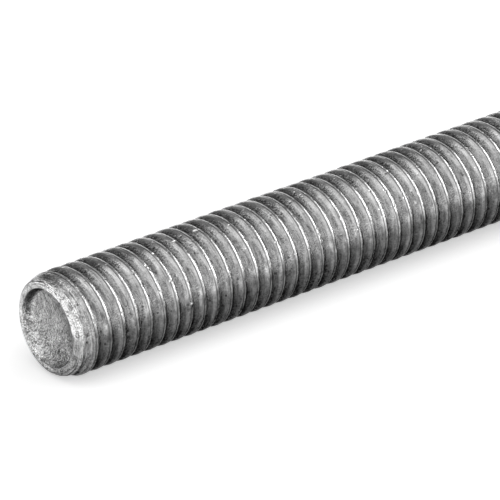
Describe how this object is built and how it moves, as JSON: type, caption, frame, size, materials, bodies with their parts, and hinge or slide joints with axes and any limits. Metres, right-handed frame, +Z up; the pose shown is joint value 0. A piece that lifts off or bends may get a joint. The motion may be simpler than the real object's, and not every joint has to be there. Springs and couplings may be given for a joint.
{
  "type": "threaded rod",
  "caption": "A straight steel rod with a rough zinc coating and a right-hand screw thread rolled along its whole length, with a chamfer and a shallow cup in each end.",
  "frame": {"origin": "the middle of the rod, on its axis", "axes": "X runs along the rod; the end that the picture shows is at -X; +Z is up"},
  "size_m": [0.3048, 0.0126, 0.0126],
  "materials": {
    "zinc": "hot-dip zinc over rolled steel: mid grey, rough and mottled, brighter on the thread crests and darker in the grooves"
  },
  "bodies": {
    "root": {"threaded_rod": "zinc"}
  },
  "joints": []
}
